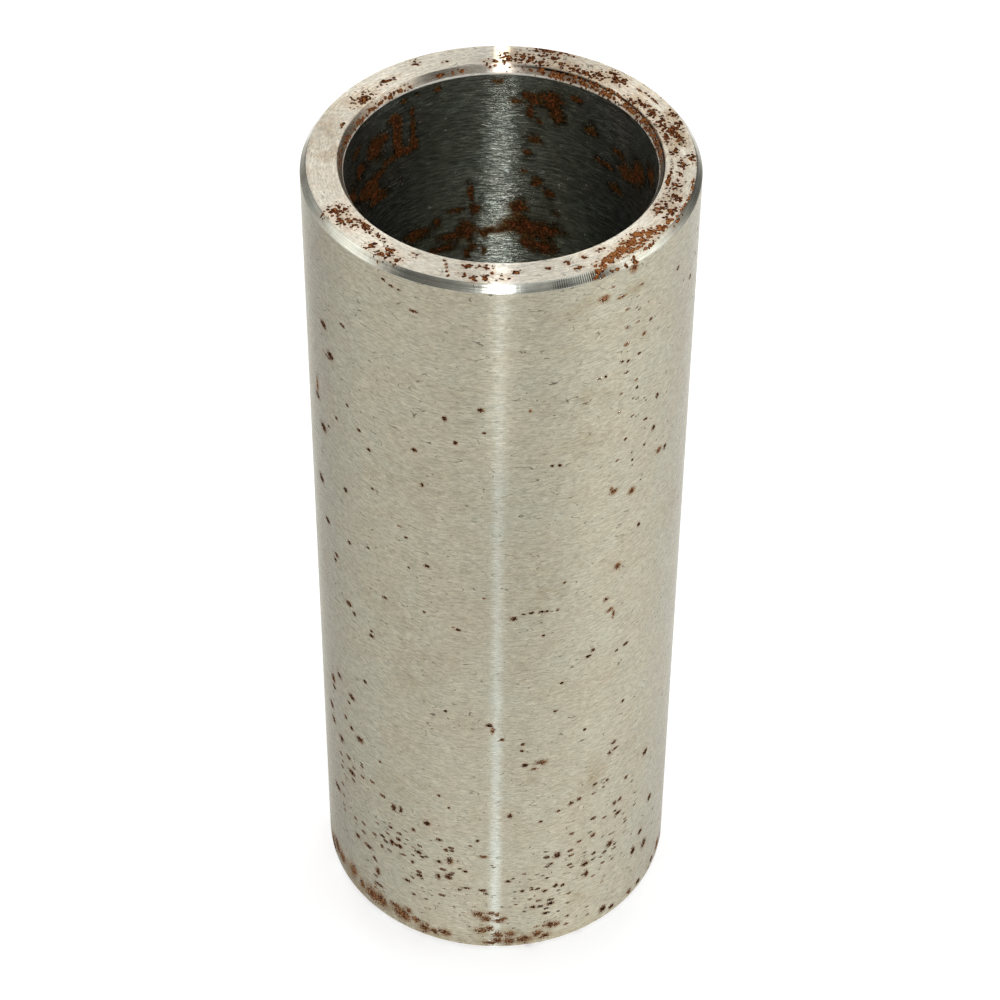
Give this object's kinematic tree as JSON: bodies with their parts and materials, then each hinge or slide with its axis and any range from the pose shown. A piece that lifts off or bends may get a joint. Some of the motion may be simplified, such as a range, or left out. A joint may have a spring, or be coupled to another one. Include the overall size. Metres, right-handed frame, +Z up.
{
  "type": "spacer sleeve",
  "caption": "Plain round steel sleeve with a straight through bore, flat faced ends and chamfered corners, ground outside and spotted with rust.",
  "frame": {"origin": "centre of the lower end face, on the sleeve's axis", "axes": "+Z up the bore, from the lower end face to the upper one"},
  "size_m": [0.07, 0.07, 0.175],
  "materials": {
    "ground_steel": "cylindrically ground bare steel with fine marks round it, spotted with red-brown rust"
  },
  "bodies": {
    "root": {"sleeve": "ground_steel"}
  },
  "joints": []
}
